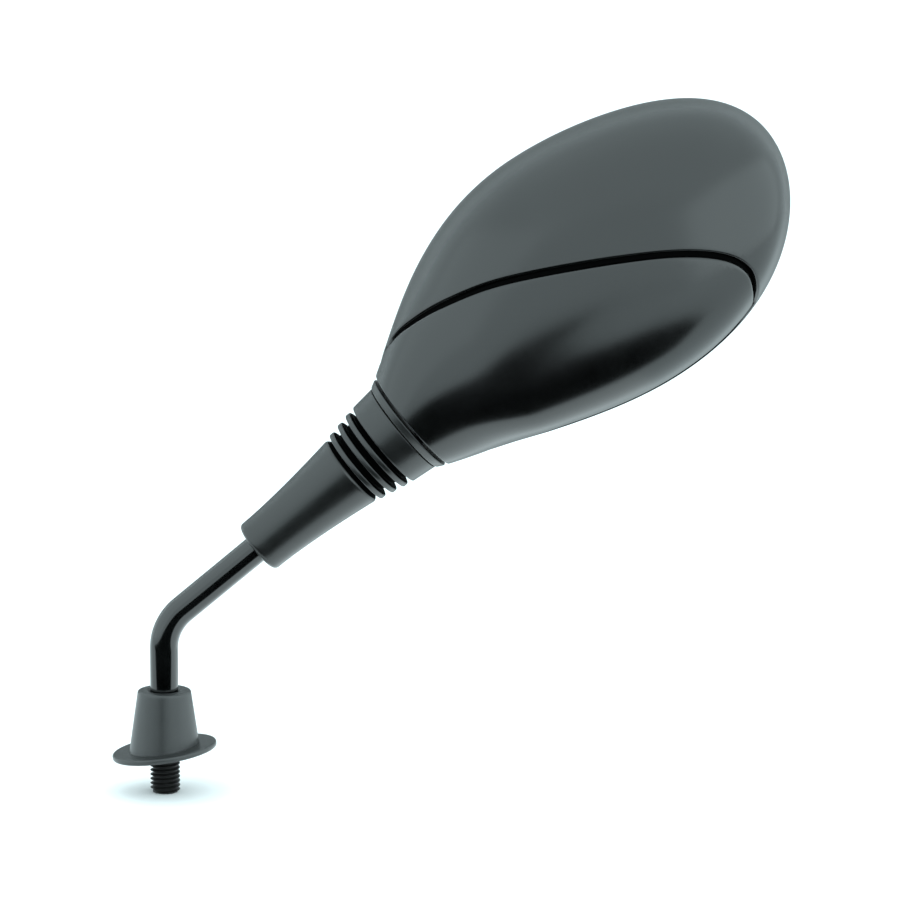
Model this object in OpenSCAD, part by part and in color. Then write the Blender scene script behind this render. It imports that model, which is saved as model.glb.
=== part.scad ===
// Left-hand mirror on a bent steel stem, with a moulded egg-shaped head on a ball joint.
// The origin is on the stud's axis, halfway along its free thread, +Z runs up the stud,
// +X runs outboard along the arm and +Y faces the rider, so the glass looks along +Y.
// Heights named below count from the underside of the base boot's flange.

/* [Stem] */
// Diameter of the bent rod
rod_d = 9.4; // [8.6:0.1:9.8]
// Outer diameter of the mounting thread
thread_d = 10; // [9.8:0.1:10.6]
// Length of thread below the base boot
stud_len = 13.4; // [10:0.2:24]
// Height up to which the rod is threaded
thread_top = 13; // [12:0.5:14]
// Chamfer at the end of the thread
thread_chamfer = 0.9; // [0.5:0.1:1.4]
// Width of the turned relief at the seat
relief_w = 1.5; // [1.2:0.1:2]
// Depth of the turned relief at the seat
relief_depth = 0.7; // [0.4:0.1:1]
// Height at which the stud's axis meets the arm's axis
corner_z = 43.6; // [42:0.2:60]
// Radius of the bend on the rod's centre line
bend_r = 17.5; // [15:0.5:19]
// Angle of the arm above the horizontal
arm_angle = 39.8; // [34:0.2:46]
// Length of the arm from the corner to the ball's centre
arm_len = 101.2; // [90:0.2:130]

/* [Base boot] */
// Radius of the tilted flange
flange_r = 17.6; // [16:0.2:22]
// Thickness of the flange
flange_t = 1.9; // [1.4:0.1:2.6]
// Tilt of the flange, low on the inboard side
flange_tilt = 7.8; // [4:0.2:10]
// Radius of the cone where it leaves the flange
cone_foot_r = 11.7; // [11.4:0.1:13]
// Radius of the cone at its top
cone_top_r = 8.85; // [8:0.05:10]
// Height of the cone's top
cone_top_z = 21.5; // [21:0.1:24]
// Rounding of the cone's top edge
cone_round = 1.1; // [0.6:0.1:1.6]
// Wall of the cone round its cavity
cone_wall = 1.8; // [1.4:0.1:2]

/* [Lock nut] */
// Width of the nut across its flats
nut_flats = 14; // [13.6:0.1:14.4]
// Height of the nut
nut_h = 5; // [4:0.1:5.5]
// Radius of the split washer
washer_r = 8.3; // [7.5:0.1:8.6]
// Thickness of the split washer
washer_t = 2; // [1.6:0.1:2.2]
// Width of the washer's split
washer_split = 1.6; // [1:0.1:2.4]
// How far the nut backs off up the thread
nut_travel = 3; // [1.5:0.5:3]

/* [Ball joint] */
// Diameter of the ball
ball_d = 16; // [15.6:0.1:16.6]
// Radius of the stem's spigot in the ball
spigot_r = 3; // [2.5:0.1:3.4]
// Thickness of the two cup liners
cup_t = 1.25; // [1:0.05:1.4]
// Running gap on each side of a liner
ball_gap = 0.15; // [0.1:0.01:0.2]
// Half angle of the lower liner's opening round the rod
cup_mouth = 40; // [39:0.5:42]
// Half angle at which the lower liner ends
cup_end = 78; // [76:0.5:80]
// Half angle of the upper liner
cap_end = 82; // [80:0.5:84]
// Half angle of the socket's opening round the rod
socket_mouth = 50; // [49:0.5:52]
// Wall of the socket block
block_wall = 1.65; // [1.3:0.05:1.8]
// Distance of the socket block's lower face from the ball's centre
block_low = 6.9; // [6.6:0.1:7.1]
// Thickness of the block's flange
block_flange = 3; // [2.6:0.1:4]
// Distance of the joint's screws from the arm's axis
screw_circle = 13.4; // [13.2:0.1:13.8]
// Thickness of the pressure plate
clamp_t = 2; // [1.6:0.1:3]
// Length of the compressed clamp springs
spring_len = 7.5; // [6:0.1:9]
// Wire diameter of the clamp springs
spring_wire = 1.1; // [0.8:0.1:1.2]
// Turns of each clamp spring
spring_turns = 4.5; // [3:0.5:5]

/* [Neck boot] */
// Wall of the sleeve over the neck tube
sleeve_wall = 1.9; // [1.6:0.1:2.4]
// How much the sleeve widens towards the head
sleeve_flare = 0.9; // [0.4:0.1:1.2]
// Length of the sleeve
sleeve_len = 8.7; // [8:0.1:10]
// Number of bellows ribs
rib_count = 3; // [2:1:4]
// Distance from rib to rib
rib_pitch = 4.1; // [3.8:0.1:5]
// Thickness of one rib
rib_t = 1.8; // [1.4:0.1:2.2]
// Depth of the grooves between the ribs
rib_depth = 2.6; // [1.8:0.1:2.8]
// Wall at the bottom of the grooves
bellows_wall = 1.3; // [1:0.1:1.6]
// How much each rib is smaller than the one above it
rib_step = 0.8; // [0.4:0.1:1]
// Length of the plain taper down to its mouth
taper_len = 41; // [36:0.5:50]
// Radius of the taper near its mouth
taper_r = 9.4; // [8.6:0.1:10]
// Length of the lip that grips the rod
grip_len = 9; // [6:0.5:12]

/* [Head] */
// Radius of the neck where the head begins
neck_r = 18.9; // [18.6:0.1:20]
// Half width of the head at its widest
belly_r = 45; // [42:0.5:48]
// Distance of the widest place from the ball's centre
belly_a = 85.7; // [82:0.1:92]
// Distance of the head's tip from the ball's centre
tip_a = 157.5; // [150:0.5:170]
// Depth of the dome in front of the arm's axis
crown_y = 27; // [25:0.5:32]
// Distance of the rim's plane behind the arm's axis
rim_y = 18; // [17.5:0.1:19]
// Mean droop of the head's middle line below the arm's axis
head_drop = 0.7; // [0:0.1:1.5]
// Sway of the head's middle line
head_sway = 3; // [1:0.25:3.5]
// Where the middle line stands highest, as a share of the head's length
sway_top = 0.24; // [0.2:0.01:0.28]
// Length from there to its lowest place, as a share of the head's length
sway_run = 0.59; // [0.55:0.01:0.65]
// How far the crown sits towards the lower side, as a share of the half width
crown_shift = 0.3; // [0:0.05:0.4]
// Wall of the mouldings
shell_t = 2.2; // [1.8:0.1:2.6]
// Width of the rim round the glass
rim_w = 4; // [3.5:0.1:5]
// Wall of the neck tube
tube_wall = 2.2; // [1.8:0.1:2.4]

/* [Lower cover] */
// Thickness of the clipped cover
cover_t = 1.8; // [1.5:0.1:2.4]
// Width of the groove above the cover
groove_w = 2; // [1.4:0.1:2.6]
// Width of the joint line along the cover's lower edge
joint_w = 0.7; // [0.4:0.1:1]
// Distance of that joint line in front of the rim
cover_back = 24.5; // [22:0.5:26]
// Depth at which that joint line reaches the neck
cover_neck_y = 3; // [1:0.5:5]
// Length over which the joint line comes forwards from the neck
cover_rise = 36; // [28:1:50]
// Radius of the cover's fixing posts
post_r = 2.6; // [2.2:0.1:3]

/* [Glass] */
// Thickness of the mirror glass
glass_t = 2.4; // [2:0.1:3]
// Radius of the glass's convex face
glass_curve = 1200; // [800:50:2000]
// Depth of the glass's crown below the rim
glass_sink = 2.2; // [1.6:0.1:3]
// Gap between the glass and the rim
glass_gap = 0.8; // [0.5:0.1:1.2]
// Thickness of the adhesive foam pad
pad_t = 1; // [0.8:0.1:1.5]
// Thickness of the backing plate at its crown
plate_t = 3; // [2.6:0.1:4]
// Distance from the ball's centre to the rim's inner end
glass_a = 22; // [20:0.5:26]

/* [Hidden] */
$fn = 64;

eps = 0.01;
far = 200;
fit_gap = 0.1;
soft_gap = 0.3;

// Stem
rod_r = rod_d / 2;
thread_r = thread_d / 2;
bend_angle = 90 - arm_angle;
bend_reach = bend_r * tan(bend_angle / 2);
bend_z = corner_z - bend_reach;
bend_lap = 0.6;
bend_swell = 0.03;
stud_mid = (stud_len - thread_chamfer + relief_w / 2 + relief_depth) / 2;

// Ball joint, as radii outwards from the ball's centre
ball_r = ball_d / 2;
ball_seat = sqrt(ball_r * ball_r - rod_r * rod_r);
cup_in = ball_r + ball_gap;
cup_out = cup_in + cup_t;
socket_r = cup_out + ball_gap;
block_r = socket_r + block_wall;
tube_in = block_r + fit_gap;
tube_out = tube_in + tube_wall;

// Neck boot, as stations along the arm from the ball's centre
sleeve_end = 3;
sleeve_start = sleeve_end - sleeve_len;
tube_a = sleeve_start + 1;
sleeve_in = tube_out + soft_gap;
sleeve_r = sleeve_in + sleeve_wall;
rib_top = sleeve_start - 2.8;
rib_last = rib_top - (rib_count - 1) * rib_pitch;
taper_end = rib_last - 3;
mouth_a = taper_end - taper_len;
rib_r0 = sleeve_r - 0.5 - (rib_count - 1) * rib_step;
taper_end_r = rib_r0 - rib_step;

// Neck ring and neck wall
ring_a = sleeve_end + soft_gap;
ring_end = ring_a + 2.7;
neck_a = ring_end + 1;
neck_wall = 4;
flange_a = neck_a + neck_wall;
clamp_a = flange_a + block_flange + 2.5;
spring_a = clamp_a + clamp_t;
washer_a = spring_a + spring_len;
m4_r = 1.9;
m4_head = 3.5;

// Head
side_y = rim_y - 3;
floor_d = cover_t + soft_gap;
plate_fix = [[44, 14], [66, -27], [118, -4]];
post_in = 17;
cover_fix = [[40, -8], [78, -12], [106, post_in - belly_r]];

// Moves a piece from the flange's seat to the part's origin
module from_seat()
    translate([0, 0, stud_mid]) children();

// Places the ball's frame on the arm: local Z runs outwards along the arm and local X down across it
module on_arm()
    translate([0, 0, corner_z]) rotate([0, bend_angle, 0]) translate([0, 0, arm_len]) children();

// Turns a plan drawn in (a, q), along and across the arm, to face the front, and thickens it forwards
module plan(from_y, depth)
    translate([0, from_y, 0]) rotate([90, -90, 0]) linear_extrude(depth) children();

// Points an upright shape forwards at (a, q) with its base at from_y
module forwards(a, q, from_y)
    translate([-q, from_y, a]) rotate([90, 0, 0]) children();

// Stands a shape on the joint's screw circle, at an angle from the front
module on_circle(angles, a)
    for (w = angles) translate([screw_circle * sin(w), -screw_circle * cos(w), a]) children();

clamp_at = [90, -90];
block_at = [140, -140];

module stem() {
    low = -stud_len;
    neck_z = relief_w / 2;
    core_r = thread_r - relief_depth;
    color("#16181b") union() {
        rotate_extrude()
            polygon([
                [0, low], [thread_r - thread_chamfer, low], [thread_r, low + thread_chamfer],
                [thread_r, -neck_z - relief_depth], [core_r, -neck_z], [core_r, neck_z],
                [thread_r, neck_z + relief_depth], [thread_r, thread_top],
                [rod_r, thread_top + thread_r - rod_r + 0.5], [rod_r, bend_z], [0, bend_z]
            ]);
        translate([bend_r, 0, bend_z]) rotate([90, 0, 0]) rotate([0, 0, 180 - bend_angle - bend_lap])
            rotate_extrude(angle = bend_angle + 2 * bend_lap)
                translate([bend_r, 0]) circle(rod_r + bend_swell);
        on_arm() rotate_extrude() polygon([
            [0, bend_reach - arm_len], [rod_r, bend_reach - arm_len], [rod_r, -ball_seat],
            [spigot_r, -ball_seat], [spigot_r, spigot_top], [0, spigot_top]
        ]);
    }
}

spigot_top = ball_r - 1.8;

module pivot_ball()
    color("#b8bcc0") on_arm() difference() {
        intersection() {
            sphere(ball_r);
            translate([0, 0, fit_gap - ball_seat]) cylinder(h = ball_seat + spigot_top, r = ball_r + 1);
        }
        translate([0, 0, -ball_r]) cylinder(h = 2 * ball_r + 1, r = spigot_r + 0.02);
    }

// Ring of a ball liner between two angles counted from the arm's inboard side
module liner(from, to)
    rotate_extrude()
        polygon(concat(
            [for (i = [0:8]) let (w = from + (to - from) * i / 8) [cup_out * sin(w), -cup_out * cos(w)]],
            [for (i = [8:-1:0]) let (w = from + (to - from) * i / 8) [cup_in * sin(w), -cup_in * cos(w)]]
        ));

module cup_lower()
    color("#e8e6dc") on_arm() liner(cup_mouth, cup_end);

module cup_upper()
    color("#e8e6dc") on_arm() difference() {
        intersection() {
            sphere(cup_out);
            cylinder(h = far, r1 = 0, r2 = far * tan(cap_end));
        }
        sphere(cup_in);
    }

// Flat flange with ears out to the screw circle
module ear_plate(angles, h, r, ear_r)
    linear_extrude(h) {
        circle(r);
        for (w = angles) hull() {
            circle(ear_r);
            translate([screw_circle * sin(w), -screw_circle * cos(w)]) circle(ear_r);
        }
    }

module socket_block()
    color("#3a3d40") on_arm() difference() {
        union() {
            translate([0, 0, -block_low]) cylinder(h = block_low + flange_a + block_flange, r = block_r);
            translate([0, 0, flange_a + fit_gap])
                ear_plate(concat(clamp_at, block_at), block_flange - fit_gap, block_r + 0.8, 2.6);
        }
        sphere(socket_r);
        cylinder(h = far, r = socket_r);
        translate([0, 0, -socket_r]) cylinder(h = socket_r, r1 = socket_r * tan(socket_mouth), r2 = 0);
        on_circle(clamp_at, flange_a - 1) cylinder(h = block_flange + 2, r = m4_r + 0.03);
        on_circle(block_at, flange_a - 1) cylinder(h = block_flange + 2, r = m4_r + 0.15);
    }

module clamp_plate()
    color("#9aa0a5") on_arm() difference() {
        union() {
            translate([0, 0, pad_a]) cylinder(h = clamp_a - pad_a + eps, r = socket_r - soft_gap);
            translate([0, 0, clamp_a]) ear_plate(clamp_at, clamp_t, block_r + 0.5, 3.9);
        }
        sphere(socket_r);
        on_circle(clamp_at, clamp_a - 1) cylinder(h = clamp_t + 2, r = m4_r + 0.3);
    }

pad_a = ball_r * 0.7;

// Coil of round wire as one closed tube
module coil(turns, mean_r, wire_r, h) {
    sides = 6;
    steps = floor(turns * 12);
    rings = [
        for (i = [0:steps]) let (w = 360 * turns * i / steps, z = wire_r + (h - 2 * wire_r) * i / steps)
            for (j = [0:sides - 1]) let (k = 360 * j / sides, r = mean_r + wire_r * cos(k))
                [r * cos(w), r * sin(w), z + wire_r * sin(k)]
    ];
    skin = [
        for (i = [0:steps - 1]) for (j = [0:sides - 1]) let (n = (j + 1) % sides)
            [i * sides + j, (i + 1) * sides + j, (i + 1) * sides + n, i * sides + n]
    ];
    ends = [[for (j = [0:sides - 1]) j], [for (j = [sides - 1:-1:0]) steps * sides + j]];
    polyhedron(points = rings, faces = concat(skin, ends), convexity = 6);
}

module clamp_springs()
    color("#8d9296") on_arm() on_circle(clamp_at, spring_a + 0.05)
        coil(spring_turns, m4_head - 0.4, spring_wire / 2, spring_len - 0.1);

module clamp_washers()
    color("#a9aeb2") on_arm() on_circle(clamp_at, washer_a) difference() {
        cylinder(h = 0.8, r = m4_head + 0.5);
        translate([0, 0, -1]) cylinder(h = 3, r = m4_r + 0.2);
    }

// Screw along Z with its head's seat at zero, and a hexagon recess
module screw(shank_r, shank_len, head_r, head_h)
    difference() {
        union() {
            translate([0, 0, -shank_len]) cylinder(h = shank_len + eps, r = shank_r);
            cylinder(h = head_h * 0.6, r = head_r);
            translate([0, 0, head_h * 0.6]) cylinder(h = head_h * 0.4, r1 = head_r, r2 = head_r * 0.78);
        }
        translate([0, 0, head_h * 0.4]) cylinder(h = head_h, r = head_r * 0.5, $fn = 6);
    }

module clamp_screws()
    color("#a9aeb2") on_arm() on_circle(clamp_at, washer_a + 0.85)
        screw(m4_r, washer_a + 0.85 - flange_a - 0.4, m4_head, 2.6);

module block_screws()
    color("#a9aeb2") on_arm() on_circle(block_at, flange_a + block_flange + 0.05)
        screw(1.4, block_flange + neck_wall - 1.2, 3, 2.2);

module neck_boot() {
    groove_r = function(i) rib_r0 + rib_step * i - rib_depth;
    taper = function(u) taper_r + (taper_end_r - taper_r) * pow(u, 1.5);
    outer = concat(
        [[rod_r + 0.05, mouth_a], [taper_r - 2.6, mouth_a], [taper_r - 1, mouth_a + 0.8],
         [taper_r - 0.25, mouth_a + 2.1]],
        [for (i = [0:8]) let (u = i / 8) [taper(u), mouth_a + 3.6 + (taper_len - 3.6) * u]],
        [for (i = [0:rib_count - 1])
            let (a = rib_last + i * rib_pitch, r = rib_r0 + i * rib_step, h = rib_t / 2)
            each [[groove_r(i), a - h - 0.5], [groove_r(i) + 0.3, a - h], [r - 0.5, a - h], [r, a - h / 2],
                  [r, a + h / 2], [r - 0.5, a + h], [groove_r(i) + 0.3, a + h], [groove_r(i), a + h + 0.5]]],
        [[groove_r(rib_count), sleeve_start - 0.6], [groove_r(rib_count) + 0.4, sleeve_start],
         [sleeve_r - 0.4, sleeve_start], [sleeve_r, sleeve_start + 0.4],
         [sleeve_r + sleeve_flare, sleeve_end - 0.3], [sleeve_r + sleeve_flare - 0.3, sleeve_end]]
    );
    inner = concat(
        [[sleeve_in, sleeve_end], [sleeve_in, sleeve_start + 0.9], [sleeve_in - 0.6, sleeve_start - 0.1],
         [groove_r(rib_count) - bellows_wall, sleeve_start - 0.9]],
        [for (i = [rib_count - 1:-1:0]) [groove_r(i) - bellows_wall, rib_last + i * rib_pitch - rib_t / 2 - 0.5]],
        [for (i = [7:-1:4]) let (u = i / 8)
            [min(taper(u) - sleeve_wall, groove_r(0) - bellows_wall), mouth_a + 3.6 + (taper_len - 3.6) * u]],
        [[rod_r + 0.05, mouth_a + grip_len]]
    );
    color("#1b1e21") on_arm() rotate_extrude() polygon(concat(outer, inner));
}

module base_boot() {
    cavity_r = cone_foot_r - cone_wall;
    color("#2a2e31") difference() {
        union() {
            rotate_extrude() polygon(concat(
                [[0, -flange_r / 2], [cone_foot_r, -flange_r / 2], [cone_foot_r, flange_t]],
                [for (i = [0:4]) let (w = 90 * i / 4)
                    [cone_top_r - cone_round + cone_round * cos(w),
                     cone_top_z - cone_round + cone_round * sin(w)]],
                [[0, cone_top_z]]
            ));
            rotate([0, -flange_tilt, 0]) rotate_extrude() polygon(concat(
                [[0, 0]],
                [for (i = [-4:4]) let (w = 90 * i / 4)
                    [flange_r - flange_t / 2 + flange_t / 2 * cos(w), flange_t / 2 + flange_t / 2 * sin(w)]],
                [[0, flange_t]]
            ));
        }
        rotate([0, -flange_tilt, 0]) translate([0, 0, -far]) cylinder(h = far, r = far);
        rotate_extrude() polygon([
            [0, -flange_r], [cavity_r, -flange_r], [cavity_r, 0], [cavity_top_r, cavity_z],
            [rod_r + 0.2, cavity_z + 3], [rod_r + 0.2, cone_top_z - 0.8], [rod_r + 0.9, cone_top_z - 0.1],
            [rod_r + 0.9, cone_top_z + 1], [0, cone_top_z + 1]
        ]);
    }
}

nut_z = 0.2 + washer_t + 0.05;
cavity_z = nut_z + nut_h + nut_travel + 0.8;
nut_corner = nut_flats / 2 / cos(30);
cavity_top_r = nut_corner + 0.5;

module lock_washer()
    color("#a9aeb2") translate([0, 0, 0.2]) difference() {
        cylinder(h = washer_t, r = washer_r);
        translate([0, 0, -1]) cylinder(h = washer_t + 2, r = thread_r + 0.1);
        rotate([0, 0, 60]) translate([0, -washer_split / 2, -1])
            cube([washer_r + 1, washer_split, washer_t + 2]);
    }

module jam_nut()
    color("#a9aeb2") translate([0, 0, nut_z]) difference() {
        intersection() {
            cylinder(h = nut_h, r = nut_corner, $fn = 6);
            rotate_extrude() polygon([
                [0, 0], [nut_flats / 2, 0], [nut_corner + 0.1, 0.7],
                [nut_corner + 0.1, nut_h - 0.7], [nut_flats / 2, nut_h], [0, nut_h]
            ]);
        }
        translate([0, 0, -1]) cylinder(h = nut_h + 2, r = thread_r + 0.05);
    }

module neck_ring()
    color("#101214") on_arm() rotate_extrude() polygon([
        [tube_out + fit_gap, ring_a], [sleeve_r + sleeve_flare + 0.1, ring_a],
        [sleeve_r + sleeve_flare + 0.4, ring_a + 0.3], [neck_r - 0.6, ring_end - 0.4],
        [neck_r - 1, ring_end], [tube_out + fit_gap, ring_end]
    ]);

// Outline and depth of the head at the station a, on a surface set in by d
function reach(a) = (a - neck_a) / (belly_a - neck_a);
function beyond(a, d) = min(1, max(0, (a - belly_a) / (tip_a - d - belly_a)));
function half_w(a, d) = a < belly_a
    ? neck_r - d + (belly_r - neck_r) * sin(90 * reach(a))
    : (belly_r - d) * sqrt(1 - pow(beyond(a, d), 2));
function mid_q(a) = -head_drop + head_sway * cos(180 * ((a - neck_a) / (tip_a - neck_a) - sway_top) / sway_run);
function blend(a) = let (u = min(1, max(0, (a - neck_a) / 34))) u * u * (3 - 2 * u);
function mix(a, from, to) = from + (to - from) * blend(a);
function front_y(a, d) = a < belly_a
    ? -(neck_r - d + (crown_y - neck_r) * sin(90 * reach(a)))
    : side_y - d - (side_y + crown_y - 2 * d) * pow(1 - pow(beyond(a, d), 2.3), 1 / 2.3);
function back_y(a, d) = (mix(a, neck_r, rim_y) - d - mix(a, 0, side_y - d))
    * pow(1 - pow(beyond(a, d), 5), 1 / 5);

// One section of the head: a circle at the neck that grows into a dome with a flat rim
function section(a, d) = let (
    w = half_w(a, d), wide = mix(a, 0, side_y - d), front = wide - front_y(a, d), back = back_y(a, d)
) [
    for (i = [0:section_n - 1]) let (
        s = sin(360 * i / section_n), c = cos(360 * i / section_n),
        n = c > 0 ? mix(a, 2, 2.25) : mix(a, 2, 5),
        q = mid_q(a) + w * sign(s) * pow(abs(s), 2 / n) - (c > 0 ? mix(a, 0, crown_shift) * w * c * c : 0),
        y = wide - (c > 0 ? front : -back) * pow(abs(c), 2 / n)
    ) [-q, y, a]
];

section_n = 32;
neck_n = 8;
tip_n = 8;
function stations(from, d) = concat(
    [for (i = [0:neck_n - 1]) from + (belly_a - from) * i / neck_n],
    [for (i = [0:tip_n - 1]) belly_a + (tip_a - d - belly_a) * sin(90 * i / tip_n)],
    [belly_a + (tip_a - d - belly_a) * sin(90 * (tip_n - 0.4) / tip_n)]
);

// Solid head inside a surface set in by d, lofted from the station from to the tip
module head_solid(d, from) {
    stops = stations(from, d);
    caps = [[for (j = [0:section_n - 1]) j], [for (j = [section_n - 1:-1:0]) section_n + j]];
    sides = [for (j = [0:section_n - 1]) let (n = (j + 1) % section_n)
        [j, section_n + j, section_n + n, n]];
    for (i = [0:len(stops) - 2]) hull()
        polyhedron(
            points = concat(section(stops[i], d), section(stops[i + 1], d)),
            faces = concat(caps, sides)
        );
}

// Point on a smooth curve through a list of points, at u from 0 to the number of spans
function spline(p, u) = let (
    i = min(len(p) - 4, floor(u)), t = u - i, a = p[i], b = p[i + 1], c = p[i + 2], d = p[i + 3]
) 0.5 * (2 * b + (c - a) * t + (2 * a - 5 * b + 4 * c - d) * t * t + (3 * b - a - 3 * c + d) * t * t * t);

seam = [[10, 18], [13, 22.6], [18.2, 25.1], [26, 26.4], [39.6, 25], [58.9, 19.6], [83.8, 7.1],
        [107, -7.2], [120.5, -19.4], [124.8, -29.5], [120.2, -38.3], [113, -42], [104, -45.5], [94, -52]];
seam_n = 4;

// Plan of the lower cover, out past the head's lower side
module cover_plan()
    polygon(concat(
        [[neck_a - 8, 60], [13, 60]],
        [for (i = [0:seam_n * (len(seam) - 3)]) spline(seam, i / seam_n)],
        [[104, -70], [neck_a - 8, -70]]
    ));

// Side view of the joint between the cover and the shell: it follows the lower contour seen from the front
module cover_side(grow)
    rotate([0, -90, 0]) linear_extrude(2 * far, center = true)
        polygon([
            [-far, -far], [-far, cover_neck_y + grow], [neck_a, cover_neck_y + grow],
            [neck_a + cover_rise, rim_y - cover_back + grow], [far, rim_y - cover_back + grow], [far, -far]
        ]);

// Zone of the lower cover, grown in the plan and towards the rim
module cover_zone(grow, grow_y)
    intersection() {
        plan(far / 2, far) offset(delta = grow) cover_plan();
        cover_side(grow_y);
    }

// Plan of the head's rim, set in by d and rounded off towards the neck
module rim_plan(d)
    offset(r = 15, $fn = 48) offset(delta = -15 - d)
        polygon(concat(
            [for (a = stations(glass_a - rim_w, 0)) [a, mid_q(a) + half_w(a, 0)]],
            [for (i = [len(stations(glass_a - rim_w, 0)) - 1:-1:0])
                let (a = stations(glass_a - rim_w, 0)[i]) [a, mid_q(a) - half_w(a, 0)]]
        ));

module rear_shell()
    color("#3c4548") on_arm() difference() {
        union() {
            difference() {
                head_solid(0, neck_a);
                cover_zone(groove_w / 2, joint_w / 2);
            }
            head_solid(floor_d, neck_a);
            translate([0, 0, tube_a]) cylinder(h = neck_a + 1 - tube_a, r = tube_out);
        }
        difference() {
            head_solid(shell_t, flange_a);
            cover_zone(groove_w / 2 + shell_t, joint_w / 2 + shell_t);
            shell_bosses();
        }
        difference() {
            head_solid(floor_d + shell_t, flange_a);
            shell_bosses();
        }
        plan(far, far - rim_y + 12) rim_plan(rim_w);
        translate([0, 0, -far]) cylinder(h = far + flange_a + 1, r = tube_in);
        on_circle(block_at, neck_a + 0.8) cylinder(h = neck_wall, r = 1.45, $fn = 16);
        for (p = plate_fix) forwards(p[0], p[1], plate_back + 1) cylinder(h = 12, r = 1.25, $fn = 16);
        for (p = cover_fix) forwards(p[0], p[1], far) cylinder(h = 2 * far, r = post_r + soft_gap, $fn = 24);
    }

plate_back = rim_y - glass_sink - glass_t - pad_t - plate_t;
cover_seat = -12;

// Bosses inside the shell: three carry the backing plate and three hold the cover's posts
module shell_bosses() {
    for (p = plate_fix) forwards(p[0], p[1], plate_back - fit_gap) cylinder(h = far, r = 3.4, $fn = 24);
    for (p = cover_fix) forwards(p[0], p[1], cover_seat) cylinder(h = far, r = post_r + 2.4, $fn = 24);
}

module lower_cover()
    color("#3c4548") on_arm() {
        intersection() {
            difference() {
                head_solid(0, neck_a);
                head_solid(cover_t, neck_a - 1);
            }
            cover_zone(-groove_w / 2, -joint_w / 2);
        }
        difference() {
            intersection() {
                for (p = cover_fix) forwards(p[0], p[1], cover_seat - 0.4) cylinder(h = far, r = post_r, $fn = 24);
                head_solid(cover_t / 2, neck_a);
            }
            for (p = cover_fix) forwards(p[0], p[1], cover_seat + 1) cylinder(h = 8, r = 1.3, $fn = 16);
        }
    }

module cover_screws()
    color("#a9aeb2") on_arm() for (p = cover_fix) translate([-p[1], cover_seat + 0.05, p[0]])
        rotate([-90, 0, 0]) screw(1.25, 6, post_r + 1.6, 2);

// Blank of constant thickness, a depth below the glass's face and curved about the same centre
module lens_blank(depth, t) {
    reach_r = 85;
    face_r = glass_curve - depth;
    centre = [0, rim_y - glass_sink - glass_curve, (glass_a + tip_a) / 2];
    arc = function(r, i) let (w = asin(reach_r / glass_curve) * i / 6) [r * sin(w), r * cos(w)];
    translate(centre) rotate([-90, 0, 0]) rotate_extrude($fn = 96) polygon(concat(
        [for (i = [0:6]) arc(face_r, i)], [for (i = [6:-1:0]) arc(face_r - t, i)]
    ));
}

module glass()
    color("#c9d3d8") on_arm() intersection() {
        plan(far, 2 * far) rim_plan(rim_w + glass_gap);
        lens_blank(0, glass_t);
    }

module glass_pad()
    color("#202224") on_arm() intersection() {
        plan(far, 2 * far) rim_plan(rim_w + glass_gap + 1.5);
        lens_blank(glass_t + 0.01, pad_t - 0.02);
    }

module backing_plate()
    color("#2b2e30") on_arm() difference() {
        intersection() {
            plan(far, far - plate_back) rim_plan(rim_w + glass_gap + 0.4);
            lens_blank(glass_t + pad_t, 20);
        }
        for (p = plate_fix) {
            forwards(p[0], p[1], far) cylinder(h = 2 * far, r = 1.6);
            forwards(p[0], p[1], far) cylinder(h = far - plate_back - 0.8, r = 3.1);
        }
    }

module plate_screws()
    color("#a9aeb2") on_arm() for (p = plate_fix) translate([-p[1], plate_back + 0.85, p[0]])
        rotate([-90, 0, 0]) screw(1.2, 8, 2.8, 0.9);

from_seat() stem();
from_seat() pivot_ball();
from_seat() neck_boot();
from_seat() base_boot();
from_seat() lock_washer();
from_seat() jam_nut();
from_seat() cup_lower();
from_seat() cup_upper();
from_seat() socket_block();
from_seat() clamp_plate();
from_seat() clamp_springs();
from_seat() clamp_washers();
from_seat() clamp_screws();
from_seat() block_screws();
from_seat() neck_ring();
from_seat() rear_shell();
from_seat() lower_cover();
from_seat() cover_screws();
from_seat() backing_plate();
from_seat() plate_screws();
from_seat() glass_pad();
from_seat() glass();
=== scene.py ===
# Left-hand motorcycle mirror on its bent stem, dressed for the studio.
# Pieces are modelled in millimetres and set down in metres in the part's own frame: the origin is
# halfway along the stud's free thread, +Z runs up the stud, +X outboard and +Y towards the rider.
import math

import bpy
import numpy as np
from mathutils import Matrix, Vector


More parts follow.
